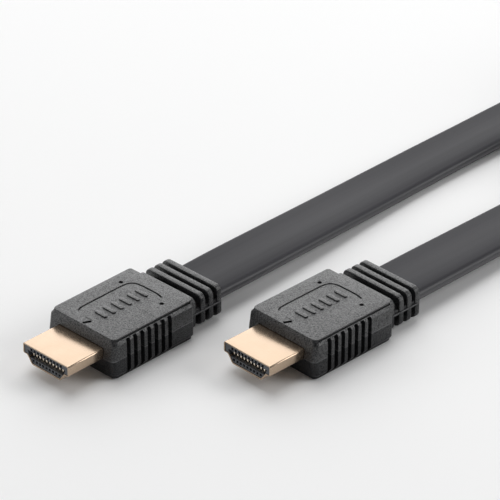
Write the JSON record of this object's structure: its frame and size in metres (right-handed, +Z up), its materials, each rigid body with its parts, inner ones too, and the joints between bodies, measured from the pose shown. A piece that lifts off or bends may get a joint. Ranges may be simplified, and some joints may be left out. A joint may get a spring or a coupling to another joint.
{
  "type": "flat audio and video cable with two plugs",
  "caption": "Flat grey audio and video lead with a moulded plug, gold shell and ribbed strain relief on each end; the spare length is coiled on edge and held by a tie.",
  "frame": {"origin": "middle of the two plugs' bounding box, on the surface that they lie on", "axes": "+X from the plugs' noses towards the cable, +Z up from the surface that the plugs lie on"},
  "size_m": [0.3008, 0.1654, 0.0163],
  "materials": {
    "moulding": "satin",
    "gold": "polished",
    "insulator": "satin",
    "jacket": "satin",
    "strap": "matte"
  },
  "bodies": {
    "root": {"left_moulding": "moulding", "left_shell": "gold", "left_insulator": "insulator", "left_contact_01": "gold", "left_contact_02": "gold", "left_contact_03": "gold", "left_contact_04": "gold", "left_contact_05": "gold", "left_contact_06": "gold", "left_contact_07": "gold", "left_contact_08": "gold", "left_contact_09": "gold", "left_contact_10": "gold", "left_contact_11": "gold", "left_contact_12": "gold", "left_contact_13": "gold", "left_contact_14": "gold", "left_contact_15": "gold", "left_contact_16": "gold", "left_contact_17": "gold", "left_contact_18": "gold", "left_contact_19": "gold", "right_moulding": "moulding", "right_shell": "gold", "right_insulator": "insulator", "right_contact_01": "gold", "right_contact_02": "gold", "right_contact_03": "gold", "right_contact_04": "gold", "right_contact_05": "gold", "right_contact_06": "gold", "right_contact_07": "gold", "right_contact_08": "gold", "right_contact_09": "gold", "right_contact_10": "gold", "right_contact_11": "gold", "right_contact_12": "gold", "right_contact_13": "gold", "right_contact_14": "gold", "right_contact_15": "gold", "right_contact_16": "gold", "right_contact_17": "gold", "right_contact_18": "gold", "right_contact_19": "gold", "cable_left": "jacket", "cable_right": "jacket", "cable_centre": "jacket", "cable_coil": "jacket", "tie": "strap"}
  },
  "joints": []
}
